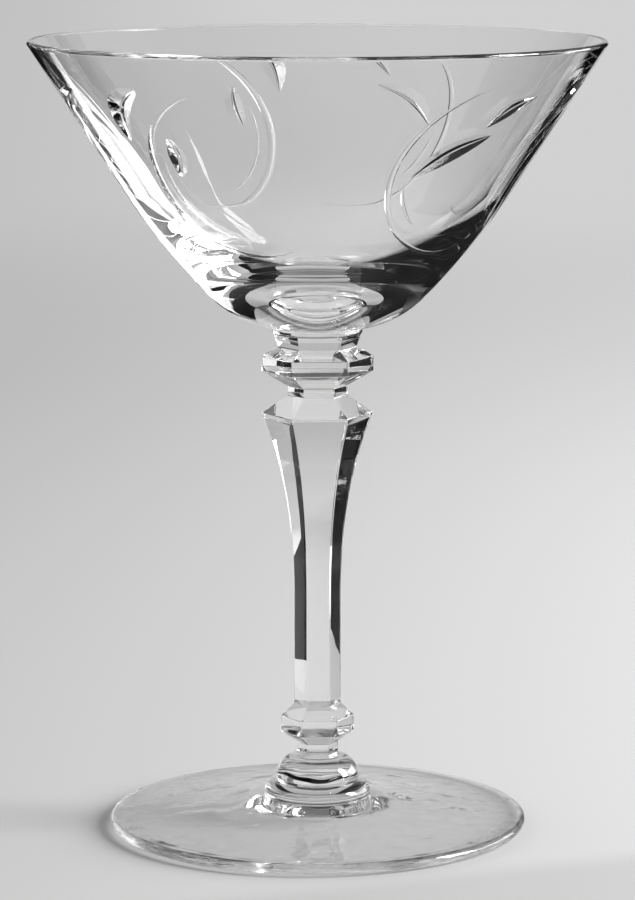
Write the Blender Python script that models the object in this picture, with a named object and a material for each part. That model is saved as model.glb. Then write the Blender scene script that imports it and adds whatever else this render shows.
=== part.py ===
"""Stemmed sherbet glass in clear crystal.

Five gathers of glass stand on one another along +Z: foot, foot_button, stem, bowl_merese and bowl.
The foot, button, merese and bowl are turned shapes. The stem is pressed with six sides.
Lengths are in metres and angles in degrees. The origin is the centre of the ring that the foot rests on.
"""
import math

import bmesh
import bpy

# Seam between two gathers, which are fused on the real glass
SEAM_GAP = 0.0003

# Foot: a disc with a half-round edge, a swept top with a bead in the middle, and a hollow underside that
# is flat in the middle and then follows the top down to the ring
FOOT_RADIUS = 0.0404
FOOT_EDGE_THICKNESS = 0.0021
FOOT_TOP_RISE = 0.0036
FOOT_TOP_SWEEP = 1.5
REST_RING_WIDTH = 0.0030
UNDERSIDE_HOLLOW = 0.00275
UNDERSIDE_FLAT_RADIUS = 0.0110
UNDERSIDE_BLEND = 0.0060
BEAD_RADIUS = 0.0103
BEAD_TOP_RADIUS = 0.0078
BEAD_ROUND_HEIGHT = 0.0019
BEAD_TUCK_ANGLE = 30.0

# Button: a dome between the bead and the stem
BUTTON_RADIUS = 0.0080
BUTTON_HEIGHT = 0.0045
BUTTON_LIP_HEIGHT = 0.0005
BUTTON_TOP_LAND = 0.0004

# Stem, from its lower end up. Radii go to the corners of the six-sided sections
STEM_SIDES = 6
LOWER_NECK_RADIUS = 0.0040
LOWER_NECK_LENGTH = 0.0025
LOWER_KNOP_RADIUS = 0.00710
LOWER_KNOP_UNDER_BEVEL = 0.0021
LOWER_KNOP_BAND = 0.0031
LOWER_KNOP_TOP_BEVEL = 0.0024
SHAFT_RADIUS = 0.00455
SHAFT_STRAIGHT_LENGTH = 0.0201
SHAFT_FLARE_LENGTH = 0.0370
SHAFT_FLARE_SWEEP = 2.4
SHOULDER_RADIUS = 0.01075
SHOULDER_BEVEL = 0.0034
UPPER_NECK_RADIUS = 0.0058
UPPER_NECK_LENGTH = 0.0018
UPPER_KNOP_RADIUS = 0.01083
UPPER_KNOP_UNDER_BEVEL = 0.0029
UPPER_KNOP_BAND = 0.0029
UPPER_KNOP_TOP_BEVEL = 0.0018
COLLAR_BOTTOM_RADIUS = 0.00757
COLLAR_TOP_RADIUS = 0.0083
COLLAR_LENGTH = 0.0024

# Merese: a thin round pad with a half-round edge
MERESE_OVERHANG = 0.0004
MERESE_THICKNESS = 0.0008

# Bowl: two arcs lead from the merese into a straight side. Slopes are measured from the horizontal
RIM_RADIUS = 0.0550
RIM_WALL = 0.0012
BASE_SLOPE = 7.5
BASE_ARC_RADIUS = 0.0202
BASE_ARC_END_SLOPE = 45.0
SIDE_ARC_RADIUS = 0.1256
WALL_SLOPE = 57.0
LOWER_WALL = 0.0029
FLOOR_THICKNESS = 0.0077

# Finish
GLASS_COLOUR = (0.95, 0.96, 0.96, 1.0)
GLASS_ROUGHNESS = 0.02
GLASS_REFRACTIVE_INDEX = 1.52

# Fineness of the round shapes
ROUND_SEGMENTS = 64
CURVE_STEPS = 6
EDGE_STEPS = 4
FLARE_STEPS = 12
MERGE_DISTANCE = 0.000001
SHARP_ANGLE = 30.0

# Places that follow from the sizes
BEAD_TUCK = BEAD_ROUND_HEIGHT * math.sin(math.radians(BEAD_TUCK_ANGLE))
BEAD_MIDDLE = FOOT_EDGE_THICKNESS + FOOT_TOP_RISE + BEAD_TUCK
FOOT_HEIGHT = BEAD_MIDDLE + BEAD_ROUND_HEIGHT
BUTTON_BASE = FOOT_HEIGHT + SEAM_GAP
STEM_BASE = BUTTON_BASE + BUTTON_HEIGHT + SEAM_GAP
MERESE_RADIUS = COLLAR_TOP_RADIUS + MERESE_OVERHANG


def clear_scene():
    for item in list(bpy.data.objects):
        bpy.data.objects.remove(item, do_unlink=True)


def spaced(start, end, steps):
    """Evenly spaced values from start to end, both included."""
    return [start + (end - start) * step / steps for step in range(steps + 1)]


def arc(centre, radius, start, end, steps):
    """Points on a circle between two angles in degrees, as (radius, height) pairs."""
    angles = [math.radians(angle) for angle in spaced(start, end, steps)]
    return [(centre[0] + radius * math.cos(a), centre[1] + radius * math.sin(a)) for a in angles]


def add_object(name, mesh, base):
    """Turn an edited mesh into a named glass object whose own origin stands at height base."""
    bmesh.ops.recalc_face_normals(mesh, faces=mesh.faces)
    data = bpy.data.meshes.new(name)
    mesh.to_mesh(data)
    mesh.free()
    data.shade_smooth()
    data.set_sharp_from_angle(angle=math.radians(SHARP_ANGLE))
    data.materials.append(glass(name))
    item = bpy.data.objects.new(name, data)
    item.location = (0.0, 0.0, base)
    bpy.context.collection.objects.link(item)
    return item


def glass(name):
    material = bpy.data.materials.new(name + "_glass")
    material.use_nodes = True
    shader = material.node_tree.nodes["Principled BSDF"]
    shader.inputs["Base Color"].default_value = GLASS_COLOUR
    shader.inputs["Roughness"].default_value = GLASS_ROUGHNESS
    shader.inputs["Metallic"].default_value = 0.0
    shader.inputs["Transmission Weight"].default_value = 1.0
    shader.inputs["IOR"].default_value = GLASS_REFRACTIVE_INDEX
    return material


def turned(name, profile, base):
    """Spin a profile of (radius, height) points that starts and ends on the axis."""
    mesh = bmesh.new()
    points = [mesh.verts.new((radius, 0.0, height)) for radius, height in profile]
    lines = [mesh.edges.new(pair) for pair in zip(points, points[1:])]
    bmesh.ops.spin(
        mesh, geom=points + lines, cent=(0.0, 0.0, 0.0), axis=(0.0, 0.0, 1.0),
        angle=math.tau, steps=ROUND_SEGMENTS, use_merge=True)
    bmesh.ops.remove_doubles(mesh, verts=mesh.verts, dist=MERGE_DISTANCE)
    return add_object(name, mesh, base)


def foot_profile():
    edge_radius = FOOT_EDGE_THICKNESS / 2
    edge_centre = FOOT_RADIUS - edge_radius
    ring_inside = edge_centre - REST_RING_WIDTH
    bead_width = BEAD_RADIUS - BEAD_TOP_RADIUS
    bead = [
        (BEAD_TOP_RADIUS + bead_width * math.cos(a), BEAD_MIDDLE + BEAD_ROUND_HEIGHT * math.sin(a))
        for a in spaced(-math.radians(BEAD_TUCK_ANGLE), math.pi / 2, CURVE_STEPS)]
    top_end = bead[0][0]

    def top(radius):
        share = (edge_centre - radius) / (edge_centre - top_end)
        return FOOT_EDGE_THICKNESS + FOOT_TOP_RISE * share ** FOOT_TOP_SWEEP

    def underside(radius):
        share = min((radius - UNDERSIDE_FLAT_RADIUS) / UNDERSIDE_BLEND, 1.0)
        share = share * share * (3 - 2 * share)
        return UNDERSIDE_HOLLOW * (1 - share) + (top(radius) - top(ring_inside)) * share

    hollow = [(r, underside(r)) for r in spaced(UNDERSIDE_FLAT_RADIUS, ring_inside, CURVE_STEPS)]
    edge = arc((edge_centre, edge_radius), edge_radius, -90.0, 90.0, EDGE_STEPS)
    sweep = [(r, top(r)) for r in spaced(edge_centre, top_end, CURVE_STEPS)]
    return [(0.0, UNDERSIDE_HOLLOW)] + hollow + edge + sweep[1:-1] + bead + [(0.0, FOOT_HEIGHT)]


def button_profile():
    top_radius = LOWER_NECK_RADIUS + BUTTON_TOP_LAND
    dome_width = BUTTON_RADIUS - top_radius
    dome_height = BUTTON_HEIGHT - BUTTON_LIP_HEIGHT
    dome = [
        (top_radius + dome_width * math.cos(a), BUTTON_LIP_HEIGHT + dome_height * math.sin(a))
        for a in spaced(0.0, math.pi / 2, CURVE_STEPS)]
    return [(0.0, 0.0), (BEAD_TOP_RADIUS, 0.0)] + dome + [(0.0, BUTTON_HEIGHT)]


def stem_sections():
    """Corner radius and height of each six-sided section, from the lower end up."""
    flare = [(1.0 - t) ** SHAFT_FLARE_SWEEP for t in spaced(1.0, 0.0, FLARE_STEPS)]
    flare_step = SHAFT_FLARE_LENGTH / FLARE_STEPS
    rises = [
        (LOWER_NECK_RADIUS, 0.0),
        (LOWER_NECK_RADIUS, LOWER_NECK_LENGTH),
        (LOWER_KNOP_RADIUS, LOWER_KNOP_UNDER_BEVEL),
        (LOWER_KNOP_RADIUS, LOWER_KNOP_BAND),
        (SHAFT_RADIUS, LOWER_KNOP_TOP_BEVEL),
        (SHAFT_RADIUS, SHAFT_STRAIGHT_LENGTH),
        *[(SHAFT_RADIUS + (SHOULDER_RADIUS - SHAFT_RADIUS) * share, flare_step) for share in flare[1:]],
        (UPPER_NECK_RADIUS, SHOULDER_BEVEL),
        (UPPER_NECK_RADIUS, UPPER_NECK_LENGTH),
        (UPPER_KNOP_RADIUS, UPPER_KNOP_UNDER_BEVEL),
        (UPPER_KNOP_RADIUS, UPPER_KNOP_BAND),
        (COLLAR_BOTTOM_RADIUS, UPPER_KNOP_TOP_BEVEL),
        (COLLAR_TOP_RADIUS, COLLAR_LENGTH),
    ]
    sections = []
    height = 0.0
    for radius, rise in rises:
        height += rise
        sections.append((radius, height))
    return sections


def pressed(name, sections, base):
    """Join six-sided sections into one solid, with a flat side facing -Y."""
    mesh = bmesh.new()
    corners = [math.tau * side / STEM_SIDES for side in range(STEM_SIDES)]
    rings = [[mesh.verts.new((r * math.cos(a), r * math.sin(a), z)) for a in corners] for r, z in sections]
    for lower, upper in zip(rings, rings[1:]):
        for side in range(STEM_SIDES):
            beside = (side + 1) % STEM_SIDES
            mesh.faces.new((lower[side], lower[beside], upper[beside], upper[side]))
    mesh.faces.new(rings[0])
    mesh.faces.new(rings[-1])
    return add_object(name, mesh, base)


def merese_profile():
    edge_radius = MERESE_THICKNESS / 2
    edge = arc((MERESE_RADIUS - edge_radius, edge_radius), edge_radius, -90.0, 90.0, EDGE_STEPS)
    return [(0.0, 0.0)] + edge + [(0.0, MERESE_THICKNESS)]


def slope_arc(start, radius, start_slope, end_slope):
    """A curve that leaves start at one slope and bends upward to another."""
    centre = (
        start[0] - radius * math.sin(math.radians(start_slope)),
        start[1] + radius * math.cos(math.radians(start_slope)))
    return arc(centre, radius, start_slope - 90.0, end_slope - 90.0, CURVE_STEPS)


def bowl_profile():
    slope = math.radians(WALL_SLOPE)
    base = slope_arc((MERESE_RADIUS, 0.0), BASE_ARC_RADIUS, BASE_SLOPE, BASE_ARC_END_SLOPE)
    side = slope_arc(base[-1], SIDE_ARC_RADIUS, BASE_ARC_END_SLOPE, WALL_SLOPE)
    wall_foot = side[-1]

    # The rim is a round that the outer wall runs into
    rim_round = RIM_WALL / 2
    rim_centre_radius = RIM_RADIUS - rim_round
    wall_run = rim_centre_radius + rim_round * math.sin(slope) - wall_foot[0]
    wall_top = wall_foot[1] + wall_run * math.tan(slope)
    rim_centre = (rim_centre_radius, wall_top + rim_round * math.cos(slope))

    # The inner wall leaves the rim round and ends LOWER_WALL inside the foot of the outer wall
    inner_foot = (wall_foot[0] - LOWER_WALL * math.sin(slope), wall_foot[1] + LOWER_WALL * math.cos(slope))
    across = rim_centre[0] - inner_foot[0]
    up = rim_centre[1] - inner_foot[1]
    inner_slope = math.degrees(math.atan2(up, across) + math.asin(rim_round / math.hypot(across, up)))
    rim = arc(rim_centre, rim_round, WALL_SLOPE - 90.0, inner_slope + 90.0, EDGE_STEPS)

    # The floor curve turns from the inner wall's direction to level on the axis
    floor_depth = inner_foot[1] - FLOOR_THICKNESS
    bend_radius = inner_foot[0] - floor_depth / math.tan(math.radians(inner_slope))
    floor = [
        (t * t * inner_foot[0] + 2 * t * (1 - t) * bend_radius, FLOOR_THICKNESS + t * t * floor_depth)
        for t in spaced(1.0, 0.0, CURVE_STEPS)]
    return [(0.0, 0.0)] + base + side[1:] + rim + floor


def build_glass():
    clear_scene()
    holder = bpy.data.objects.new("sherbet_glass", None)
    bpy.context.collection.objects.link(holder)
    sections = stem_sections()
    merese_base = STEM_BASE + sections[-1][1] + SEAM_GAP
    bowl_base = merese_base + MERESE_THICKNESS + SEAM_GAP
    pieces = [
        turned("foot", foot_profile(), 0.0),
        turned("foot_button", button_profile(), BUTTON_BASE),
        pressed("stem", sections, STEM_BASE),
        turned("bowl_merese", merese_profile(), merese_base),
        turned("bowl", bowl_profile(), bowl_base),
    ]
    for piece in pieces:
        piece.parent = holder
    bpy.context.view_layer.update()


build_glass()
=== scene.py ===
"""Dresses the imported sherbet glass: fused gathers of clear crystal, a cut band on the bowl, a pale studio.

Lengths are in metres. Every profile is a path of (radius, height) samples that runs up the outside of a
piece, each sample with the path's direction there, so that the meshes carry exact normals for clean
refraction.
"""

import math
from collections import namedtuple

import bpy
import numpy
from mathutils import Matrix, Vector
from mathutils.geometry import delaunay_2d_cdt


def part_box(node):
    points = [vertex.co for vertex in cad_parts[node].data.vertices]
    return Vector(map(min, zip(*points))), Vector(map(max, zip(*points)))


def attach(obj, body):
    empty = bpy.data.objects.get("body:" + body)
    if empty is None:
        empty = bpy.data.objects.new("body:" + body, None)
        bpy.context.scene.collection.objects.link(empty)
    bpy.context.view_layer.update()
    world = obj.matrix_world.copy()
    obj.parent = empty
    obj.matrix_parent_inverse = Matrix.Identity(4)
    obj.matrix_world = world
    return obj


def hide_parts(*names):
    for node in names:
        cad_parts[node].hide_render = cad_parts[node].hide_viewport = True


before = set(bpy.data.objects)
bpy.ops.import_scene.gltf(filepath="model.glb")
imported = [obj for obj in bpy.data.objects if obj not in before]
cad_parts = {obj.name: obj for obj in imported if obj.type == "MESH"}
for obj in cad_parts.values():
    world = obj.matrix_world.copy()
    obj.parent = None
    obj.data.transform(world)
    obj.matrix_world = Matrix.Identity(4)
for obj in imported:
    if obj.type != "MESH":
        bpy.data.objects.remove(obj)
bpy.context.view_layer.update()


def seam_height(lower, upper):
    """The height where two gathers are fused, halfway across the frame's clearance."""
    return (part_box(lower)[1].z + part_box(upper)[0].z) / 2


# Seams between the gathers
FOOT_SEAM = seam_height("foot", "foot_button")
STEM_SEAM = seam_height("foot_button", "stem")
MERESE_SEAM = seam_height("stem", "bowl_merese")
BOWL_SEAM = seam_height("bowl_merese", "bowl")

# Foot
FOOT_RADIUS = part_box("foot")[1].x
FOOT_EDGE_THICKNESS = 0.0021
FOOT_TOP_RISE = 0.0036
FOOT_TOP_SWEEP = 1.5
REST_RING_WIDTH = 0.0030
UNDERSIDE_HOLLOW = 0.00275
UNDERSIDE_FLAT_RADIUS = 0.0110
UNDERSIDE_BLEND = 0.0060
BEAD_RADIUS = 0.0103
BEAD_TOP_RADIUS = 0.0078
BEAD_TUCK_ANGLE = math.radians(30.0)

# Button
BUTTON_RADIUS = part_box("foot_button")[1].x
BUTTON_LIP_HEIGHT = 0.0005
BUTTON_TOP_RADIUS = 0.0043

# Stem: corner radius and height of each edge of the pressed piece
STEM_SIDES = 6
STEM_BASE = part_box("stem")[0].z
LOWER_NECK_RADIUS = 0.0040
LOWER_NECK_TOP = STEM_BASE + 0.0025
LOWER_KNOP_RADIUS = 0.00710
LOWER_KNOP_BOTTOM = LOWER_NECK_TOP + 0.0021
LOWER_KNOP_TOP = LOWER_KNOP_BOTTOM + 0.0031
SHAFT_RADIUS = 0.00455
SHAFT_BOTTOM = LOWER_KNOP_TOP + 0.0024
FLARE_BOTTOM = SHAFT_BOTTOM + 0.0201
FLARE_LENGTH = 0.0370
FLARE_SWEEP = 2.4
SHOULDER_RADIUS = 0.01075
SHOULDER = FLARE_BOTTOM + FLARE_LENGTH
UPPER_NECK_RADIUS = 0.0058
UPPER_NECK_BOTTOM = SHOULDER + 0.0034
UPPER_NECK_TOP = UPPER_NECK_BOTTOM + 0.0018
UPPER_KNOP_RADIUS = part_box("stem")[1].x
UPPER_KNOP_BOTTOM = UPPER_NECK_TOP + 0.0029
UPPER_KNOP_TOP = UPPER_KNOP_BOTTOM + 0.0029
COLLAR_BOTTOM_RADIUS = 0.00757
COLLAR_BOTTOM = UPPER_KNOP_TOP + 0.0018
COLLAR_TOP_RADIUS = 0.0083
STEM_EDGE_ROUND = 0.00022
STEM_CORNER_ROUND = 0.045
STEM_SIDE_BULGE = math.radians(3.0)
NECK_SPREAD = 0.0006

# Merese
MERESE_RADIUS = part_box("bowl_merese")[1].x
MERESE_SEAT = 0.0004

# Bowl
RIM_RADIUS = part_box("bowl")[1].x
RIM_WALL = 0.0012
BASE_SLOPE = math.radians(7.5)
BASE_ARC_RADIUS = 0.0202
BASE_ARC_END_SLOPE = math.radians(45.0)
SIDE_ARC_RADIUS = 0.1256
WALL_SLOPE = math.radians(57.0)
LOWER_WALL = 0.0029
FLOOR_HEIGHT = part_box("bowl")[0].z + 0.0077
BOWL_INSIDE_ROUND = 0.001

# Softened edges of the round pieces
ROUND_EDGE = 0.0003

# Fineness
ROUND_COLUMNS = 288
STEM_FLAT_STEPS = 8
CORNER_STEPS = 4
FILLET_STEPS = 4
CURVE_STEPS = 24
FLARE_STEPS = 40
FLOOR_STEPS = 48
STRAIGHT_TURN = math.radians(0.5)
VERTEX_DIGITS = 8


def flat(x, y):
    return Vector((x, y))


# Paths

def line(start, end, steps=1):
    """A straight path between two (radius, height) points."""
    start, end = Vector(start), Vector(end)
    along = (end - start).normalized()
    return [(start.lerp(end, step / steps), along) for step in range(steps + 1)]


def slope_arc(start, radius, start_slope, end_slope, steps=CURVE_STEPS):
    """A path that leaves start at one slope from the horizontal and bends evenly to another."""
    side = math.copysign(radius, end_slope - start_slope)
    centre = Vector(start) + side * flat(-math.sin(start_slope), math.cos(start_slope))
    slopes = [start_slope + (end_slope - start_slope) * step / steps for step in range(steps + 1)]
    path = []
    for a in slopes:
        path.append((centre + side * flat(math.sin(a), -math.cos(a)), flat(math.cos(a), math.sin(a))))
    return path


def traced(place, steps):
    """A path through place(t) for t from 0 to 1, with its directions measured on the curve itself."""
    nudge = 1e-4
    path = []
    for step in range(steps + 1):
        t = step / steps
        ahead = Vector(place(min(t + nudge, 1.0)))
        behind = Vector(place(max(t - nudge, 0.0)))
        path.append((Vector(place(t)), (ahead - behind).normalized()))
    return path


def fillet(corner, arrive, leave, radius):
    """Rounds the corner between two directions, unless they are nearly the same."""
    turn = math.atan2(arrive.x * leave.y - arrive.y * leave.x, arrive.dot(leave))
    if abs(turn) < STRAIGHT_TURN:
        return [(corner, arrive)]
    inward = flat(-arrive.y, arrive.x) * math.copysign(1.0, turn)
    start = corner - arrive * radius * math.tan(abs(turn) / 2)
    rounded = []
    for step in range(FILLET_STEPS + 1):
        a = abs(turn) * step / FILLET_STEPS
        place = start + radius * (math.sin(a) * arrive + (1.0 - math.cos(a)) * inward)
        rounded.append((place, math.cos(a) * arrive + math.sin(a) * inward))
    return rounded


def chain(pieces, radius):
    """Joins paths end to end and rounds each corner between them."""
    path = list(pieces[0])
    for piece in pieces[1:]:
        corner, arrive = path.pop()
        path += fillet(corner, arrive, piece[0][1], radius) + piece[1:]
    return path


# Sections, as unit outline points with their outward normals

def round_section():
    turns = [math.tau * column / ROUND_COLUMNS for column in range(ROUND_COLUMNS)]
    return [(flat(math.cos(a), math.sin(a)), flat(math.cos(a), math.sin(a))) for a in turns]


def pressed_section():
    """A regular outline with softened corners and slightly bulged sides, one of which faces -Y."""
    half_side = math.pi / STEM_SIDES
    centre_reach = 1.0 - STEM_CORNER_ROUND / math.cos(half_side)
    side_radius = STEM_CORNER_ROUND + centre_reach * math.sin(half_side) / math.sin(STEM_SIDE_BULGE)
    side_depth = (side_radius - STEM_CORNER_ROUND) * math.cos(STEM_SIDE_BULGE)
    side_reach = centre_reach * math.cos(half_side) - side_depth
    outline = []
    for corner in range(STEM_SIDES):
        outline += outline_arc(2 * half_side * corner, centre_reach, STEM_CORNER_ROUND,
                               half_side - STEM_SIDE_BULGE, CORNER_STEPS)
        outline += outline_arc(2 * half_side * (corner + 0.5), side_reach, side_radius,
                               STEM_SIDE_BULGE, STEM_FLAT_STEPS)[1:-1]
    return outline


def outline_arc(middle, centre_reach, radius, half_turn, steps):
    """Points with normals on an arc about a centre that lies towards the angle middle, or away from it."""
    centre = centre_reach * flat(math.cos(middle), math.sin(middle))
    turns = [middle + half_turn * (2 * step / steps - 1) for step in range(steps + 1)]
    normals = [flat(math.cos(a), math.sin(a)) for a in turns]
    return [(centre + radius * normal, normal) for normal in normals]


def blended_section(section, share):
    """Moves a section towards a circle through its corners by a share from 0 to 1."""
    blended = []
    for point, normal in section:
        round_point = point.normalized()
        blended.append((point.lerp(round_point, share), normal.lerp(round_point, share).normalized()))
    return blended


# Meshes

class Shape:
    """Collects vertices, faces, corner normals and material numbers of one closed piece."""

    def __init__(self):
        self.places = []
        self.found = {}
        self.faces = []
        self.normals = []
        self.slots = []

    def vertex(self, place):
        """The number of the vertex at a place, which is added if there is none yet."""
        key = tuple(round(value, VERTEX_DIGITS) for value in place)
        if key not in self.found:
            self.found[key] = len(self.places)
            self.places.append(place)
        return self.found[key]

    def face(self, corners, normals, slot):
        """Adds a face, leaving out corners that have fallen together."""
        kept = [i for i, corner in enumerate(corners) if corner != corners[i - 1]]
        if len(kept) > 2:
            self.faces.append([corners[i] for i in kept])
            self.normals += [normals[i] for i in kept]
            self.slots.append(slot)

    def turned(self, path, section, slot):
        """Lays the same section on every sample of a path."""
        self.loft(path, [section] * len(path), slot)

    def loft(self, path, sections, slot):
        """Lays one section on each sample of a path."""
        rows = []
        for (place, along), section in zip(path, sections):
            row = []
            for point, normal in section:
                spot = Vector((place.x * point.x, place.x * point.y, place.y))
                lean = Vector((normal.x * along.y, normal.y * along.y, -point.dot(normal) * along.x))
                row.append((self.vertex(spot), lean.normalized()))
            rows.append(row)
        for lower, upper in zip(rows, rows[1:]):
            for index in range(len(lower)):
                quad = (lower[index - 1], lower[index], upper[index], upper[index - 1])
                self.face([corner for corner, _ in quad], [normal for _, normal in quad], slot)

    def disc(self, radius, height, section, facing, slot):
        """Closes the shape with a flat face across a section."""
        up = Vector((0.0, 0.0, facing))
        middle = self.vertex(Vector((0.0, 0.0, height)))
        rim = [self.vertex(Vector((radius * point.x, radius * point.y, height))) for point, _ in section]
        for index in range(len(rim)):
            pair = (rim[index - 1], rim[index]) if facing > 0 else (rim[index], rim[index - 1])
            self.face((middle, *pair), (up, up, up), slot)

    def build(self, name, materials):
        mesh = bpy.data.meshes.new(name)
        mesh.from_pydata(self.places, [], self.faces)
        for material in materials:
            mesh.materials.append(material)
        mesh.polygons.foreach_set("material_index", self.slots)
        mesh.normals_split_custom_set(self.normals)
        mesh.update()
        piece = bpy.data.objects.new(name, mesh)
        bpy.context.collection.objects.link(piece)
        return piece


# Places in a piece's list of materials
GLASS = 0
FUSED = 1
CUT = 2


# Materials

CRYSTAL_IOR = 1.52
EDGE_TONES = [(0.0, 0.99), (0.6, 0.97), (0.8, 0.88), (1.0, 0.30)]
UPRIGHT_FACE = 0.6
LEVEL_FACE = 0.95
SCUFF_SCALE = 900.0
SCUFF_HEIGHT = 0.0002
SCUFF_START = 0.45
SCUFF_FULL = 0.65
SCUFF_ROUGHNESS = 0.25


def math_node(tree, operation, *values):
    """The output of a math node that is fed with numbers and other outputs."""
    node = tree.nodes.new("ShaderNodeMath")
    node.operation = operation
    for socket, value in zip(node.inputs, values):
        if isinstance(value, bpy.types.NodeSocket):
            tree.links.new(value, socket)
        else:
            socket.default_value = value
    return node.outputs["Value"]


def eased(tree, value, start, end, low=0.0, high=1.0):
    """Goes smoothly from low to high while value goes from start to end."""
    node = tree.nodes.new("ShaderNodeMapRange")
    node.interpolation_type = "SMOOTHSTEP"
    node.inputs["From Min"].default_value = start
    node.inputs["From Max"].default_value = end
    node.inputs["To Min"].default_value = low
    node.inputs["To Max"].default_value = high
    tree.links.new(value, node.inputs["Value"])
    return node.outputs["Result"]


def ramp(tree, value, stops):
    """A grey ramp through (position, grey) stops."""
    node = tree.nodes.new("ShaderNodeValToRGB")
    elements = node.color_ramp.elements
    while len(elements) < len(stops):
        elements.new(1.0)
    for element, (position, grey) in zip(elements, stops):
        element.position = position
        element.color = (grey, grey, grey, 1.0)
    tree.links.new(value, node.inputs["Fac"])
    return node.outputs["Color"]


def split_axes(tree, vector):
    """The X, Y and Z of a vector."""
    node = tree.nodes.new("ShaderNodeSeparateXYZ")
    tree.links.new(vector, node.inputs["Vector"])
    return node.outputs


def place_on(tree, kind="Object"):
    return tree.nodes.new("ShaderNodeTexCoord").outputs[kind]


def light_path(tree):
    return tree.nodes.new("ShaderNodeLightPath").outputs


def noise(tree, place, scale):
    node = tree.nodes.new("ShaderNodeTexNoise")
    node.inputs["Scale"].default_value = scale
    tree.links.new(place, node.inputs["Vector"])
    return node


def mix_surface(tree, share, first, second):
    """Shows the first shader where share is 0 and the second where it is 1."""
    mix = tree.nodes.new("ShaderNodeMixShader")
    tree.links.new(share, mix.inputs["Fac"])
    tree.links.new(first, mix.inputs[1])
    tree.links.new(second, mix.inputs[2])
    tree.links.new(mix.outputs["Shader"], tree.nodes["Material Output"].inputs["Surface"])


def new_material(name):
    material = bpy.data.materials.new(name)
    material.use_nodes = True
    tree = material.node_tree
    return material, tree, tree.nodes["Principled BSDF"]


def crystal(name, wave_scale, wave_height, rim_light=1.0, face_light=1.0):
    """Clear glass with the faint waviness that hot working or the cutting wheel leaves.

    Lamps shine through it, less at its edges: rim_light is passed by upright faces and face_light by level
    ones. Where the glass rests on the table it is scuffed.
    """
    material, tree, shader = new_material(name)
    shader.inputs["Base Color"].default_value = (1.0, 1.0, 1.0, 1.0)
    shader.inputs["IOR"].default_value = CRYSTAL_IOR
    shader.inputs["Transmission Weight"].default_value = 1.0
    place = place_on(tree)
    waves = noise(tree, place, wave_scale)
    waves.inputs["Detail"].default_value = 1.0
    bump = tree.nodes.new("ShaderNodeBump")
    bump.inputs["Distance"].default_value = wave_height
    tree.links.new(waves.outputs["Fac"], bump.inputs["Height"])
    tree.links.new(bump.outputs["Normal"], shader.inputs["Normal"])
    scuffs = noise(tree, place, SCUFF_SCALE)
    touched = eased(tree, split_axes(tree, place)["Z"], SCUFF_HEIGHT, 0.0)
    scuffed = eased(tree, scuffs.outputs["Fac"], SCUFF_START, SCUFF_FULL, 0.0, SCUFF_ROUGHNESS)
    tree.links.new(math_node(tree, "MULTIPLY", touched, scuffed), shader.inputs["Roughness"])
    edge = tree.nodes.new("ShaderNodeLayerWeight")
    edge.inputs["Blend"].default_value = 0.5
    tone = ramp(tree, edge.outputs["Facing"], EDGE_TONES)
    geometry = tree.nodes.new("ShaderNodeNewGeometry")
    level = math_node(tree, "ABSOLUTE", split_axes(tree, geometry.outputs["Normal"])["Z"])
    lights = [(0.0, rim_light), (UPRIGHT_FACE, rim_light), (LEVEL_FACE, face_light), (1.0, face_light)]
    passed = tree.nodes.new("ShaderNodeBsdfTransparent")
    tree.links.new(math_node(tree, "MULTIPLY", tone, ramp(tree, level, lights)), passed.inputs["Color"])
    rays = light_path(tree)
    lit = math_node(tree, "MAXIMUM", rays["Is Shadow Ray"], rays["Is Diffuse Ray"])
    mix_surface(tree, lit, shader.outputs["BSDF"], passed.outputs["BSDF"])
    return material


def fused_seam():
    """The face between two gathers, which light crosses unbent."""
    material, tree, shader = new_material("fused_seam")
    clear = tree.nodes.new("ShaderNodeBsdfTransparent")
    tree.nodes.remove(shader)
    tree.links.new(clear.outputs["BSDF"], tree.nodes["Material Output"].inputs["Surface"])
    return material


# Pieces

def dress(piece, node):
    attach(piece, "root")
    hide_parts(node)
    return piece


def make_foot(materials):
    edge_round = FOOT_EDGE_THICKNESS / 2
    edge_centre = FOOT_RADIUS - edge_round
    ring_inside = edge_centre - REST_RING_WIDTH
    top_end = FOOT_EDGE_THICKNESS + FOOT_TOP_RISE
    bead_round = (FOOT_SEAM - top_end) / (1.0 + math.sin(BEAD_TUCK_ANGLE))
    bead_width = BEAD_RADIUS - BEAD_TOP_RADIUS

    def bead(t):
        a = -BEAD_TUCK_ANGLE + (math.pi / 2 + BEAD_TUCK_ANGLE) * t
        return BEAD_TOP_RADIUS + bead_width * math.cos(a), FOOT_SEAM + bead_round * (math.sin(a) - 1.0)

    reach = edge_centre - bead(0.0)[0]

    def top(t):
        return edge_centre - reach * t, FOOT_EDGE_THICKNESS + FOOT_TOP_RISE * t ** FOOT_TOP_SWEEP

    def hollow(t):
        radius = ring_inside * t
        share = min(max((radius - UNDERSIDE_FLAT_RADIUS) / UNDERSIDE_BLEND, 0.0), 1.0)
        share = share * share * (3.0 - 2.0 * share)
        below_top = top((edge_centre - radius) / reach)[1] - top(REST_RING_WIDTH / reach)[1]
        return radius, UNDERSIDE_HOLLOW * (1.0 - share) + below_top * share

    path = chain([
        traced(hollow, CURVE_STEPS),
        line((ring_inside, 0.0), (edge_centre, 0.0)),
        slope_arc((edge_centre, 0.0), edge_round, 0.0, math.pi),
        traced(top, CURVE_STEPS),
        traced(bead, CURVE_STEPS),
    ], ROUND_EDGE)
    section = round_section()
    shape = Shape()
    shape.turned(path, section, GLASS)
    shape.disc(BEAD_TOP_RADIUS, FOOT_SEAM, section, 1.0, FUSED)
    return dress(shape.build("foot_crystal", materials), "foot")


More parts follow.
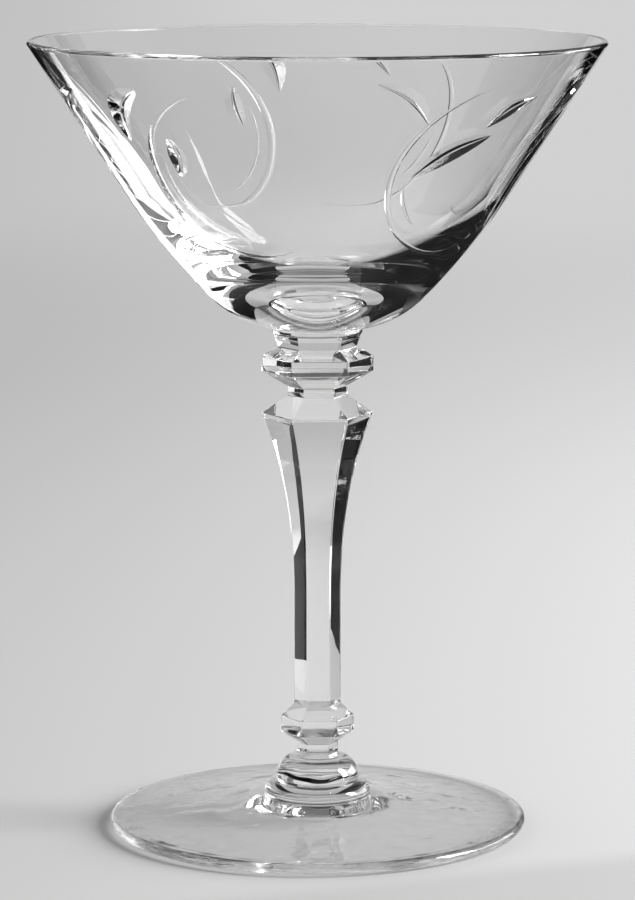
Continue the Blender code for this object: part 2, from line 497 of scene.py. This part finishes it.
def make_button(materials):
    lip = FOOT_SEAM + BUTTON_LIP_HEIGHT
    dome_width = BUTTON_RADIUS - BUTTON_TOP_RADIUS
    dome_height = STEM_SEAM - lip

    def dome(t):
        a = t * math.pi / 2
        return BUTTON_TOP_RADIUS + dome_width * math.cos(a), lip + dome_height * math.sin(a)

    path = chain([
        line((BEAD_TOP_RADIUS, FOOT_SEAM), (BUTTON_RADIUS, lip)),
        traced(dome, CURVE_STEPS),
    ], ROUND_EDGE)
    section = round_section()
    shape = Shape()
    shape.disc(BEAD_TOP_RADIUS, FOOT_SEAM, section, -1.0, FUSED)
    shape.turned(path, section, GLASS)
    shape.disc(BUTTON_TOP_RADIUS, STEM_SEAM, section, 1.0, FUSED)
    return dress(shape.build("foot_button_crystal", materials), "foot_button")


def stem_path():
    widening = SHOULDER_RADIUS - SHAFT_RADIUS

    def flare(t):
        return SHAFT_RADIUS + widening * t ** FLARE_SWEEP, FLARE_BOTTOM + FLARE_LENGTH * t

    corners_below = [
        (BUTTON_TOP_RADIUS, STEM_SEAM),
        (LOWER_NECK_RADIUS, STEM_SEAM + NECK_SPREAD),
        (LOWER_NECK_RADIUS, LOWER_NECK_TOP),
        (LOWER_KNOP_RADIUS, LOWER_KNOP_BOTTOM),
        (LOWER_KNOP_RADIUS, LOWER_KNOP_TOP),
        (SHAFT_RADIUS, SHAFT_BOTTOM),
        (SHAFT_RADIUS, FLARE_BOTTOM),
    ]
    corners_above = [
        (SHOULDER_RADIUS, SHOULDER),
        (UPPER_NECK_RADIUS, UPPER_NECK_BOTTOM),
        (UPPER_NECK_RADIUS, UPPER_NECK_TOP),
        (UPPER_KNOP_RADIUS, UPPER_KNOP_BOTTOM),
        (UPPER_KNOP_RADIUS, UPPER_KNOP_TOP),
        (COLLAR_BOTTOM_RADIUS, COLLAR_BOTTOM),
        (COLLAR_TOP_RADIUS, MERESE_SEAM - NECK_SPREAD),
        (MERESE_RADIUS - MERESE_SEAT, MERESE_SEAM),
    ]
    pieces = [line(a, b) for a, b in zip(corners_below, corners_below[1:])]
    pieces.append(traced(flare, FLARE_STEPS))
    pieces += [line(a, b) for a, b in zip(corners_above, corners_above[1:])]
    return chain(pieces, STEM_EDGE_ROUND)


def make_stem(materials):
    path = stem_path()
    section = pressed_section()
    sections = []
    for place, _ in path:
        roundness = max(0.0, 1.0 - (place.y - STEM_SEAM) / NECK_SPREAD)
        sections.append(blended_section(section, roundness))
    shape = Shape()
    shape.disc(BUTTON_TOP_RADIUS, STEM_SEAM, sections[0], -1.0, FUSED)
    shape.loft(path, sections, GLASS)
    shape.disc(MERESE_RADIUS - MERESE_SEAT, MERESE_SEAM, sections[-1], 1.0, FUSED)
    return dress(shape.build("stem_crystal", materials), "stem")


def make_merese(materials):
    seat = MERESE_RADIUS - MERESE_SEAT
    middle = (MERESE_SEAM + BOWL_SEAM) / 2
    half = (BOWL_SEAM - MERESE_SEAM) / 2

    def edge(t):
        a = (t - 0.5) * math.pi
        return seat + MERESE_SEAT * math.cos(a), middle + half * math.sin(a)

    collar = pressed_section()
    section = blended_section(collar, 1.0)
    level = flat(1.0, 0.0)
    shape = Shape()
    shape.disc(seat, MERESE_SEAM, collar, -1.0, FUSED)
    shape.loft([(flat(seat, MERESE_SEAM), level)] * 2, [collar, section], GLASS)
    shape.turned(traced(edge, CURVE_STEPS), section, GLASS)
    shape.disc(seat, BOWL_SEAM, section, 1.0, FUSED)
    return dress(shape.build("bowl_merese_crystal", materials), "bowl_merese")


def bowl_paths():
    """The outer side up to the rim, the rim and inside down to the axis, and the straight wall's foot."""
    seat = (MERESE_RADIUS - MERESE_SEAT, BOWL_SEAM)
    base_start = (MERESE_RADIUS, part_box("bowl")[0].z)
    base = slope_arc(base_start, BASE_ARC_RADIUS, BASE_SLOPE, BASE_ARC_END_SLOPE)
    side = slope_arc(base[-1][0], SIDE_ARC_RADIUS, BASE_ARC_END_SLOPE, WALL_SLOPE)
    wall_foot = side[-1][0]
    rim_round = RIM_WALL / 2
    wall_end_radius = RIM_RADIUS - rim_round + rim_round * math.sin(WALL_SLOPE)
    wall_end = flat(wall_end_radius, wall_foot.y + (wall_end_radius - wall_foot.x) * math.tan(WALL_SLOPE))
    rim_centre = wall_end + rim_round * flat(-math.sin(WALL_SLOPE), math.cos(WALL_SLOPE))
    inner_foot = wall_foot + LOWER_WALL * flat(-math.sin(WALL_SLOPE), math.cos(WALL_SLOPE))
    reach = rim_centre - inner_foot
    inner_slope = math.atan2(reach.y, reach.x) + math.asin(rim_round / reach.length)
    rim = slope_arc(wall_end, rim_round, WALL_SLOPE, inner_slope + math.pi)
    depth = inner_foot.y - FLOOR_HEIGHT
    bend_radius = inner_foot.x - depth / math.tan(inner_slope)

    def floor(t):
        u = 1.0 - t
        return u * u * inner_foot.x + 2.0 * u * t * bend_radius, FLOOR_HEIGHT + u * u * depth

    outside = chain([line(seat, base_start), base, side, line(wall_foot, wall_end, CURVE_STEPS)], ROUND_EDGE)
    inner_wall = line(rim[-1][0], inner_foot, CURVE_STEPS)
    inside = chain([rim, inner_wall, traced(floor, FLOOR_STEPS)], BOWL_INSIDE_ROUND)
    return outside, inside, wall_foot


# Cut band: leaves and scrolls drawn on the bowl's outer wall as if it were unrolled flat, with the cone's
# apex at the origin, so that a height up the wall is a distance from there

Cut = namedtuple("Cut", "spine left right depth steps hollow", defaults=[False])

PAIRS = 3
PAIR_COLUMNS = ROUND_COLUMNS // PAIRS
BAND_FIRST_COLUMN = -68
BAND_BOTTOM = 0.0480
BAND_TOP = 0.0970
BAND_MIDDLE = (BAND_BOTTOM + BAND_TOP) / 2
BAND_ROWS = 46
BAND_JOIN_GAP = 1e-5
CUT_CLEARANCE = 0.0004
CUT_FULLNESS = 0.75
LEAF_RIB = 0.00012
LEAF_STEEP_SIDE = 0.00030
LEAF_STEPS = 40
DRAWING_SCALE = 1000.0
DRAWING_TOLERANCE = 1e-5
TINY = 1e-18


def spiral(centre, start_radius, end_radius, start_turn, end_turn):
    """A curve that winds from one radius to another, with its turns in degrees."""
    def spine(t):
        a = math.radians(start_turn + (end_turn - start_turn) * t)
        radius = start_radius + (end_radius - start_radius) * t
        return flat(centre[0] + radius * math.cos(a), centre[1] + radius * math.sin(a))

    return spine


def bowed(base, tip, bow):
    """A curve from base to tip that swings out to its left by bow."""
    base, tip = Vector(base), Vector(tip)
    side = flat(base.y - tip.y, tip.x - base.x).normalized()

    def spine(t):
        return base.lerp(tip, t) + side * bow * math.sin(math.pi * t)

    return spine


def sideways(spine, t):
    """The direction to the left of a curve."""
    nudge = 1e-3
    along = spine(min(t + nudge, 1.0)) - spine(max(t - nudge, 0.0))
    return flat(-along.y, along.x).normalized()


def swell(t):
    """How wide and deep a cut is along its length, as a share of the most."""
    return max(math.sin(math.pi * t), 0.0) ** CUT_FULLNESS


def leaf(base, tip, bow, left, right, depth):
    """Two wheel cuts that leave a thin raised rib along the middle of a pointed leaf."""
    middle = bowed(base, tip, bow)
    from_middle = LEAF_RIB + LEAF_STEEP_SIDE

    def beside(offset):
        return lambda t: middle(t) + sideways(middle, t) * offset * swell(t)

    return [
        Cut(beside(from_middle), left, LEAF_STEEP_SIDE, depth, LEAF_STEPS),
        Cut(beside(-from_middle), LEAF_STEEP_SIDE, right, depth, LEAF_STEPS),
    ]


def scroll(centre, radii, turns, left, right, depth, steps):
    """A hollow cut that winds about a centre."""
    return Cut(spiral(centre, *radii, *turns), left, right, depth, steps, True)


def scroll_with_inner_leaves():
    centre = (0.0062, 0.0752)
    return [
        scroll(centre, (0.0199, 0.0194), (108.0, 283.0), left=0.0006, right=0.0006, depth=0.00024, steps=96),
        scroll(centre, (0.0170, 0.0162), (188.0, 228.0), left=0.0003, right=0.0004, depth=0.00016, steps=40),
        *leaf((-0.0096, 0.0738), (0.0046, 0.0832), bow=0.0016, left=0.0019, right=0.0017, depth=0.00052),
        *leaf((0.0024, 0.0852), (0.0132, 0.0906), bow=0.0012, left=0.0015, right=0.0012, depth=0.00048),
    ]


def scroll_with_outer_leaves():
    centre = (0.0022, 0.0748)
    return [
        scroll(centre, (0.0190, 0.0186), (112.0, 288.0), left=0.0006, right=0.0011, depth=0.00024, steps=96),
        scroll(centre, (0.0164, 0.0153), (172.0, 252.0), left=0.0003, right=0.0004, depth=0.00016, steps=48),
        *leaf((-0.0112, 0.0735), (-0.0120, 0.0822), bow=-0.0008, left=0.0016, right=0.0016, depth=0.00050),
        *leaf((-0.0215, 0.0788), (-0.0160, 0.0922), bow=0.0030, left=0.0026, right=0.0019, depth=0.00062),
    ]


def unrolled_turn(angle):
    return angle * math.cos(WALL_SLOPE)


class Band:
    """One pair of scrolls as a flat drawing: its points, their depths and the facets between them."""

    def __init__(self):
        self.points = []
        self.columns = []
        self.depths = []
        self.edges = []
        self.facets = []
        self.strips = []
        self.outlines = []
        self.span = unrolled_turn(math.tau / PAIRS)

    def add(self, across, rho, depth=0.0, column=None):
        self.points.append((across, rho))
        self.depths.append(depth)
        self.columns.append(column)
        return len(self.points) - 1

    def add_cut(self, cut, offset):
        """Adds the two facets of a cut in a group that stands at an unrolled turn of offset."""
        def place(point, depth):
            return self.add(math.atan2(point.x, point.y) + offset, point.length, depth)

        ridge, left, right = [], [], []
        for step in range(cut.steps + 1):
            t = step / cut.steps
            middle, side, width = cut.spine(t), sideways(cut.spine, t), swell(t)
            inner = 0 < step < cut.steps
            ridge.append(place(middle, cut.depth * width if inner else 0.0))
            if inner:
                left.append(place(middle + side * cut.left * width, 0.0))
                right.append(place(middle - side * cut.right * width, 0.0))
        self.facets.append([*ridge, *reversed(left)])
        self.facets.append([ridge[0], *right, ridge[-1], *reversed(ridge[1:-1])])
        self.strips += [(ridge, [ridge[0], *side, ridge[-1]], cut.hollow) for side in (left, right)]
        self.outlines.append([ridge[0], *right, ridge[-1], *reversed(left)])

    def add_border(self):
        """Adds the border's points, which the neighbouring rows and pairs share, and its edges."""
        step = self.span / PAIR_COLUMNS
        heights = self.heights()
        bottom = [self.add(column * step, heights[0], 0.0, column) for column in range(PAIR_COLUMNS + 1)]
        top = [self.add(column * step, heights[-1], 0.0, column) for column in range(PAIR_COLUMNS + 1)]
        start = [bottom[0], *[self.add(0.0, rho, 0.0, 0) for rho in heights[1:-1]], top[0]]
        end = [bottom[-1], *[self.add(self.span, rho, 0.0, PAIR_COLUMNS) for rho in heights[1:-1]], top[-1]]
        for row in (bottom, top, start, end):
            self.edges += list(zip(row, row[1:]))

    def heights(self):
        return [BAND_BOTTOM + (BAND_TOP - BAND_BOTTOM) * row / BAND_ROWS for row in range(BAND_ROWS + 1)]

    def sheet(self, across, rho):
        """Places on a flat sheet, in metres."""
        return numpy.stack([numpy.asarray(across) * BAND_MIDDLE, numpy.asarray(rho)], axis=-1)

    def add_grid(self):
        """Fills the plain wall between the cuts with evenly spread points."""
        step = self.span / PAIR_COLUMNS
        spots = []
        for row, rho in enumerate(self.heights()[1:-1]):
            for column in range(1, PAIR_COLUMNS):
                spots.append(((column + 0.5 * (row % 2) - 0.25) * step, rho))
        flat_spots = self.sheet(*numpy.array(spots).T)
        free = numpy.ones(len(spots), dtype=bool)
        for outline in self.outlines:
            ring = self.sheet(*numpy.array([self.points[index] for index in outline]).T)
            inside = numpy.zeros(len(spots), dtype=bool)
            for start, end in zip(ring, numpy.roll(ring, -1, axis=0)):
                along = end - start
                away = flat_spots - start
                share = numpy.clip(away @ along / max(along @ along, TINY), 0.0, 1.0)
                gap = numpy.linalg.norm(away - share[:, None] * along, axis=1)
                free &= gap > CUT_CLEARANCE
                crosses = (start[1] > flat_spots[:, 1]) != (end[1] > flat_spots[:, 1])
                rise = along[1] if along[1] else TINY
                border = start[0] + (flat_spots[:, 1] - start[1]) * along[0] / rise
                inside ^= crosses & (flat_spots[:, 0] < border)
            free &= ~inside
        for spot, keep in zip(spots, free):
            if keep:
                self.add(*spot)

    def triangles(self):
        """Triangles as indices into the band's points, each with the number of its facet or None."""
        flat_points = [Vector(point) * DRAWING_SCALE for point in self.sheet(*numpy.array(self.points).T)]
        spots, _, faces, sources, _, owners = delaunay_2d_cdt(
            flat_points, self.edges, self.facets, 0, DRAWING_TOLERANCE)
        crossings = [tuple(spot) for spot, source in zip(spots, sources) if not source]
        if crossings:
            raise ValueError(f"cuts cross at {crossings}")
        for face, owner in zip(faces, owners):
            facet = owner[0] if owner else None
            own = set(self.facets[facet]) if owner else set()
            yield [min(sources[corner], key=lambda source: source not in own) for corner in face], facet

    def slants(self, corners, leans):
        """Which way each facet faces at its points, by the numbers of the facet and the point.

        A hollow cut has a rounded floor: it lies level along the middle and is steepest at its borders.
        """
        facing = {}
        for facet, (ridge, border, hollow) in enumerate(self.strips):
            for step, (on_ridge, on_border) in enumerate(zip(ridge, border)):
                inner = min(max(step, 1), len(ridge) - 2)
                along = corners[ridge[inner + 1]] - corners[ridge[inner - 1]]
                slant = along.cross(corners[border[inner]] - corners[ridge[inner]]).normalized()
                lean = leans[ridge[inner]]
                if slant.dot(lean) < 0.0:
                    slant.negate()
                steepest = (2.0 * slant / slant.dot(lean) - lean).normalized()
                facing[facet, on_ridge] = lean if hollow else slant
                facing[facet, on_border] = steepest if hollow else slant
        return facing


def along_wall(path, wall_foot):
    """Unrolled distances from the apex of a path's samples."""
    lengths = [0.0]
    for (before, _), (after, _) in zip(path, path[1:]):
        lengths.append(lengths[-1] + (after - before).length)
    foot = min(range(len(path)), key=lambda index: (path[index][0] - wall_foot).length)
    foot_rho = path[foot][0].x / math.cos(WALL_SLOPE)
    return [foot_rho + length - lengths[foot] for length in lengths]


def sample(path, rhos, rho):
    """The path's sample at an unrolled distance."""
    index = max(k for k in range(len(path) - 1) if rhos[k] <= rho)
    share = (rho - rhos[index]) / (rhos[index + 1] - rhos[index])
    (before, before_along), (after, after_along) = path[index], path[index + 1]
    return before.lerp(after, share), before_along.lerp(after_along, share).normalized()


def make_bowl(materials):
    outside, inside, wall_foot = bowl_paths()
    section = round_section()
    rhos = along_wall(outside, wall_foot)
    below = [spot for spot, rho in zip(outside, rhos) if rho < BAND_BOTTOM - BAND_JOIN_GAP]
    above = [spot for spot, rho in zip(outside, rhos) if rho > BAND_TOP + BAND_JOIN_GAP]
    shape = Shape()
    shape.disc(MERESE_RADIUS - MERESE_SEAT, BOWL_SEAM, section, -1.0, FUSED)
    shape.turned([*below, sample(outside, rhos, BAND_BOTTOM)], section, GLASS)
    shape.turned([sample(outside, rhos, BAND_TOP), *above, *inside[1:]], section, GLASS)
    add_band(shape, section, lambda rho: sample(outside, rhos, rho))
    return dress(shape.build("bowl_crystal", materials), "bowl")


def add_band(shape, section, wall_at):
    """Draws one pair of scrolls and wraps it around the wall as often as there are pairs."""
    band = Band()
    group_turn = unrolled_turn(math.tau / PAIRS / 2)
    for cut in scroll_with_inner_leaves():
        band.add_cut(cut, group_turn / 2)
    for cut in scroll_with_outer_leaves():
        band.add_cut(cut, group_turn * 3 / 2)
    band.add_border()
    band.add_grid()
    triangles = list(band.triangles())
    walls = [wall_at(rho) for _, rho in band.points]
    for pair in range(PAIRS):
        first = BAND_FIRST_COLUMN + pair * PAIR_COLUMNS
        corners, leans = [], []
        for (across, _), column, depth, (place, along) in zip(band.points, band.columns, band.depths, walls):
            if column is None:
                a = math.tau * (first + across / band.span * PAIR_COLUMNS) / ROUND_COLUMNS
                turn = flat(math.cos(a), math.sin(a))
            else:
                turn = section[(first + column) % ROUND_COLUMNS][0]
            lean = Vector((turn.x * along.y, turn.y * along.y, -along.x))
            spot = Vector((place.x * turn.x, place.x * turn.y, place.y)) - lean * depth
            corners.append(spot)
            leans.append(lean)
        slants = band.slants(corners, leans)
        for triangle, facet in triangles:
            indices = [shape.vertex(corners[index]) for index in triangle]
            if facet is None:
                shape.face(indices, [leans[index] for index in triangle], GLASS)
            else:
                shape.face(indices, [slants[facet, index] for index in triangle], CUT)


# Studio

# Floor
FLOOR_RADIUS = 9.0
FLOOR_DROP = 0.0003
FLOOR_SIDES = 96
# Painted shade: the paper's colour darkens from right to left, as if lit from the right
FLOOR_PAINTED_SHADE_LEFT_GREY = 0.55
FLOOR_RIGHT_GREY = 0.67
FLOOR_PAINTED_SHADE_REACH = 0.20
FRONT_SLANT = -0.33
FRONT_EDGE = -0.055
FRONT_EDGE_END = -0.040
FRONT_DIMMING = 0.86
FAR_FLOOR_START = 0.30
FAR_FLOOR_END = 1.3
FAR_FLOOR_DIMMING = 0.96

# Cards that paint dark and bright reflections into the glass, with their corners on the floor plan
CARD_GREY = 0.006
CARD_LEVEL = 0.004
CARD_TOP = 0.46
MIRRORED_ONLY = 0
STEM_CROSSINGS = 2
STEM_MIDDLE = (0.0, 0.0, 0.055)
STEM_REACH = 0.018
LEFT_CARD_START = (-0.105, 0.04)
LEFT_CARD_STEP = (-0.105, 0.065)
LEFT_CARD_BACK = (-0.105, 0.165)
LEFT_CARD_END = (-0.105, 0.45)
LOW_CARD_TOP = 0.095
FAR_LEFT_BOTTOM = 0.09
# Painted reflection: mirrored cards glow grey near the floor
FADE_TOP = 0.13
FADE_PAINTED_REFLECTION_GLOW = 0.55
SIDE_CARD_ENDS = [(-0.25, -0.6), (-0.25, 0.1)]
BACK_CARD_ENDS = [(0.17, 0.37), (0.327, 0.37)]
BACK_CARD_TOP = 0.50
RIGHT_CARD_PLAN = [(0.0757, 0.108), (0.108, 0.0757), (0.275, 0.205), (0.300, 0.370)]
STRIPE_CARD_PLAN = [(0.278, 0.225), (0.300, 0.370), (0.62, 1.10), (0.78, 1.05)]
FAR_RIGHT_CARD_PLAN = [(0.078, 0.0), (0.60, 0.0), (0.60, 0.43), (0.100, 0.070)]
# Painted highlight: a glowing card that only the glass sees and that lights nothing
PAINTED_HIGHLIGHT_CARD_PLAN = [(-0.25, 0.17), (-0.05, 0.17), (-0.09, 0.48), (-0.25, 0.48)]
PAINTED_HIGHLIGHT_GLOW = 3.0
# Shades: painted reflections of the floor, black beside and behind the glass, glowing pale in front
SHADE_LEVEL = 0.001
SHADE_FRONT = -0.30
SHADE_BACK = 0.43
SHADE_LEFT = -0.30
SHADE_RIGHT = 0.60
SHADE_INSIDE = 0.0412
SHADE_BLACK_FRONT = 0.02
SHADE_PALE_BACK = -0.08
SHADE_PAINTED_REFLECTION_GLOW = 0.55

# Backdrop
BACKDROP_TONES = [(0.0, 0.64), (0.2, 0.48), (0.6, 0.42), (0.8, 0.05)]
ROOM_START = -0.4
ROOM_END = 0.2
ROOM_DIMMING = 0.4
SOFT_LIGHT = 2.10

LAMP_AIM = Vector((0.0, 0.0, 0.08))

# Camera of the photograph
CAMERA_DISTANCE = 0.7512
CAMERA_HEIGHT = 0.1957
CAMERA_TURN = math.radians(-3.2)
CAMERA_PITCH = math.radians(9.24)
CAMERA_LENS = 158.2
CAMERA_SENSOR = 36.0

# Longest light paths. With more mirror bounces the dark half of one leaf turns white
GLASS_BOUNCES = 80
MIRROR_BOUNCES = 22
CLEAR_BOUNCES = 40


def make_floor():
    """Pale paper that is lit near the glass and glows evenly further away.

    Its colour is painted darker on the left, as shade from the lamps on the right, and it is a little darker
    in front.
    """
    mesh = bpy.data.meshes.new("floor")
    turns = [math.tau * side / FLOOR_SIDES for side in range(FLOOR_SIDES)]
    mesh.from_pydata([(FLOOR_RADIUS * math.cos(a), FLOOR_RADIUS * math.sin(a), -FLOOR_DROP) for a in turns],
                     [], [list(range(FLOOR_SIDES))])
    material, tree, shader = new_material("floor_paper")
    place = place_on(tree)
    axes = split_axes(tree, place)
    distance = tree.nodes.new("ShaderNodeVectorMath")
    distance.operation = "LENGTH"
    tree.links.new(place, distance.inputs[0])
    # Painted shade: the colour darkens to the left, as if lit from the right
    across = eased(tree, axes["X"], -FLOOR_PAINTED_SHADE_REACH, FLOOR_PAINTED_SHADE_REACH)
    tone = ramp(tree, across, [(0.0, FLOOR_PAINTED_SHADE_LEFT_GREY), (1.0, FLOOR_RIGHT_GREY)])
    front = math_node(tree, "MULTIPLY_ADD", axes["X"], FRONT_SLANT, axes["Y"])
    dimmed = eased(tree, front, FRONT_EDGE, FRONT_EDGE_END, FRONT_DIMMING, 1.0)
    tone = math_node(tree, "MULTIPLY", tone, dimmed)
    tree.links.new(tone, shader.inputs["Base Color"])
    shader.inputs["Roughness"].default_value = 0.9
    shader.inputs["Specular IOR Level"].default_value = 0.0
    glow = tree.nodes.new("ShaderNodeEmission")
    glow.inputs["Strength"].default_value = FAR_FLOOR_DIMMING
    tree.links.new(tone, glow.inputs["Color"])
    far = eased(tree, distance.outputs["Value"], FAR_FLOOR_START, FAR_FLOOR_END)
    mix_surface(tree, far, shader.outputs["BSDF"], glow.outputs["Emission"])
    mesh.materials.append(material)
    floor = bpy.data.objects.new("floor", mesh)
    bpy.context.collection.objects.link(floor)


def mirrored(tree):
    """1 where the glass mirrors a card, and 0 where it is seen straight."""
    return math_node(tree, "MINIMUM", light_path(tree)["Glossy Depth"], 1.0)


def shown(tree, crossings):
    """1 where the glass mirrors a card and where it is seen straight through the stem.

    Straight, a ray may cross no more glass surfaces than the number of crossings, and it has to leave the
    glass no nearer to the card than the stem, so that the card doesn't show through the bowl.
    """
    rays = light_path(tree)
    few = math_node(tree, "LESS_THAN", rays["Transmission Depth"], crossings + 0.5)
    reach = tree.nodes.new("ShaderNodeVectorMath")
    reach.operation = "DISTANCE"
    reach.inputs[1].default_value = STEM_MIDDLE
    tree.links.new(place_on(tree), reach.inputs[0])
    far = math_node(tree, "SUBTRACT", reach.outputs["Value"], STEM_REACH)
    central = math_node(tree, "GREATER_THAN", rays["Ray Length"], far)
    return math_node(tree, "MAXIMUM", mirrored(tree), math_node(tree, "MULTIPLY", few, central))


def make_card(name, corners, glow=0.0, crossings=None):
    """A black or glowing card that only the glass sees, which paints dark or bright reflections into it, as
    used to draw the edges of clear glass.

    With a number of crossings, it is there only for the rays that shown() lets see it.
    """
    mesh = bpy.data.meshes.new(name)
    mesh.from_pydata(corners, [], [(0, 1, 2, 3)])
    material, tree, shader = new_material(name)
    shader.inputs["Base Color"].default_value = (CARD_GREY, CARD_GREY, CARD_GREY, 1.0)
    shader.inputs["Roughness"].default_value = 1.0
    shader.inputs["Specular IOR Level"].default_value = 0.0
    shader.inputs["Emission Color"].default_value = (1.0, 1.0, 1.0, 1.0)
    shader.inputs["Emission Strength"].default_value = glow
    if crossings is not None:
        absent = tree.nodes.new("ShaderNodeBsdfTransparent")
        mix_surface(tree, shown(tree, crossings), absent.outputs["BSDF"], shader.outputs["BSDF"])
    mesh.materials.append(material)
    card = bpy.data.objects.new(name, mesh)
    bpy.context.collection.objects.link(card)
    card.visible_camera = False
    card.visible_diffuse = False
    card.visible_shadow = False
    return card


def upright(name, start, end, low, high, crossings):
    """A card that stands between two places on the floor plan, from one height to another."""
    corners = [(*start, low), (*end, low), (*end, high), (*start, high)]
    return make_card(name, corners, crossings=crossings)


def lying(plan, level=CARD_LEVEL):
    """The corners of a card that lies level."""
    return [(*corner, level) for corner in plan]


def set_glow(card, make_glow):
    """Gives a card a glow that changes over it."""
    tree = card.active_material.node_tree
    glow = make_glow(tree, split_axes(tree, place_on(tree)))
    tree.links.new(glow, tree.nodes["Principled BSDF"].inputs["Emission Strength"])


def fade_low_painted_reflection(card):
    """Lets a card glow towards the floor where the glass mirrors it, so that its black fades to grey: a
    painted reflection.
    """
    def glow(tree, axes):
        low = eased(tree, axes["Z"], FADE_TOP, 0.0, 0.0, FADE_PAINTED_REFLECTION_GLOW)
        return math_node(tree, "MULTIPLY", mirrored(tree), low)

    set_glow(card, glow)


def make_painted_reflection_shade(name, left, right):
    """A card that the glass only mirrors, a painted reflection of the floor: black beside and behind the
    glass, glowing pale in front of it.
    """
    plan = [(left, SHADE_FRONT), (right, SHADE_FRONT), (right, SHADE_BACK), (left, SHADE_BACK)]
    card = make_card(name, lying(plan, SHADE_LEVEL))
    card.visible_transmission = False

    def glow(tree, axes):
        return eased(tree, axes["Y"], SHADE_BLACK_FRONT, SHADE_PALE_BACK, 0.0, SHADE_PAINTED_REFLECTION_GLOW)

    set_glow(card, glow)


# Black cards and glows that paint dark and bright reflections into the glass
def make_cards():
    fade_low_painted_reflection(upright("left_card", LEFT_CARD_STEP, LEFT_CARD_BACK, 0.0, CARD_TOP, STEM_CROSSINGS))
    fade_low_painted_reflection(upright("low_left_card", LEFT_CARD_START, LEFT_CARD_STEP, 0.0, LOW_CARD_TOP, STEM_CROSSINGS))
    upright("high_left_card", LEFT_CARD_START, LEFT_CARD_STEP, LOW_CARD_TOP, CARD_TOP, MIRRORED_ONLY)
    upright("far_left_card", LEFT_CARD_BACK, LEFT_CARD_END, FAR_LEFT_BOTTOM, CARD_TOP, MIRRORED_ONLY)
    upright("side_card", *SIDE_CARD_ENDS, 0.0, CARD_TOP, MIRRORED_ONLY)
    upright("back_card", *BACK_CARD_ENDS, 0.0, BACK_CARD_TOP, STEM_CROSSINGS)
    make_card("right_card", lying(RIGHT_CARD_PLAN), crossings=STEM_CROSSINGS)
    make_card("stripe_card", lying(STRIPE_CARD_PLAN), crossings=STEM_CROSSINGS)
    make_card("far_right_card", lying(FAR_RIGHT_CARD_PLAN), crossings=MIRRORED_ONLY)
    make_painted_reflection_shade("left_shade", SHADE_LEFT, -SHADE_INSIDE)
    make_painted_reflection_shade("right_shade", SHADE_INSIDE, SHADE_RIGHT)
    # Painted highlight: this glowing card only shows in the glass and lights nothing
    make_card("painted_highlight_card", lying(PAINTED_HIGHLIGHT_CARD_PLAN), glow=PAINTED_HIGHLIGHT_GLOW)


def make_world():
    """A backdrop that darkens upwards, under a dark ceiling, with a dimmer room behind the camera.

    As a light on the paper it is stronger than it looks.
    """
    world = bpy.data.worlds.new("studio")
    bpy.context.scene.world = world
    world.use_nodes = True
    tree = world.node_tree
    background = tree.nodes["Background"]
    axes = split_axes(tree, place_on(tree, "Generated"))
    height = math_node(tree, "MAXIMUM", axes["Z"], 0.0)
    tone = ramp(tree, height, BACKDROP_TONES)
    rays = light_path(tree)
    strength = eased(tree, axes["Y"], ROOM_START, ROOM_END, ROOM_DIMMING, 1.0)
    strength = math_node(tree, "MAXIMUM", strength, rays["Is Camera Ray"])
    seen = math_node(tree, "MAXIMUM", rays["Is Camera Ray"], rays["Is Glossy Ray"])
    seen = math_node(tree, "MAXIMUM", seen, rays["Is Transmission Ray"])
    soft = math_node(tree, "MULTIPLY_ADD", seen, 1.0 - SOFT_LIGHT, SOFT_LIGHT)
    strength = math_node(tree, "MULTIPLY", strength, soft)
    tree.links.new(tone, background.inputs["Color"])
    tree.links.new(strength, background.inputs["Strength"])


def make_lamp(name, place, width, height, energy):
    """A soft rectangular light that faces the glass."""
    data = bpy.data.lights.new(name, "AREA")
    data.shape = "RECTANGLE"
    data.size = width
    data.size_y = height
    data.energy = energy
    lamp = bpy.data.objects.new(name, data)
    lamp.location = place
    aim = LAMP_AIM - lamp.location
    lamp.rotation_euler = aim.to_track_quat("-Z", "Y").to_euler()
    lamp.visible_camera = False
    bpy.context.collection.objects.link(lamp)


def make_lamps():
    make_lamp("window_light", (1.3, -0.17, 0.55), width=0.5, height=0.8, energy=32.0)
    make_lamp("side_light", (1.163, 0.458, 0.23), width=0.84, height=0.44, energy=6.9)
    make_lamp("strip_light", (1.033, -0.1013, 0.907), width=0.306, height=0.07, energy=3.4)


def make_camera():
    data = bpy.data.cameras.new("camera")
    data.sensor_width = CAMERA_SENSOR
    data.lens = CAMERA_LENS
    data.clip_start = 0.01
    camera = bpy.data.objects.new("camera", data)
    camera.location = (
        CAMERA_DISTANCE * math.sin(CAMERA_TURN), -CAMERA_DISTANCE * math.cos(CAMERA_TURN), CAMERA_HEIGHT)
    camera.rotation_euler = (math.pi / 2 - CAMERA_PITCH, 0.0, CAMERA_TURN)
    bpy.context.collection.objects.link(camera)
    bpy.context.scene.camera = camera


def main():
    seam = fused_seam()
    foot = crystal("foot_crystal", wave_scale=110.0, wave_height=0.00030, rim_light=0.25, face_light=0.93)
    pressed = crystal("pressed_crystal", wave_scale=150.0, wave_height=0.00003, rim_light=0.8)
    blown = crystal("blown_crystal", wave_scale=50.0, wave_height=0.00004)
    cut = crystal("cut_crystal", wave_scale=1400.0, wave_height=0.00003)
    make_foot([foot, seam])
    make_button([foot, seam])
    make_stem([pressed, seam])
    make_merese([blown, seam])
    make_bowl([blown, seam, cut])
    make_floor()
    make_cards()
    make_world()
    make_lamps()
    make_camera()
    scene = bpy.context.scene
    scene.view_settings.view_transform = "Standard"
    scene.cycles.max_bounces = GLASS_BOUNCES
    scene.cycles.transmission_bounces = GLASS_BOUNCES
    scene.cycles.glossy_bounces = MIRROR_BOUNCES
    scene.cycles.transparent_max_bounces = CLEAR_BOUNCES
    scene.cycles.caustics_reflective = False
    scene.cycles.caustics_refractive = False


main()
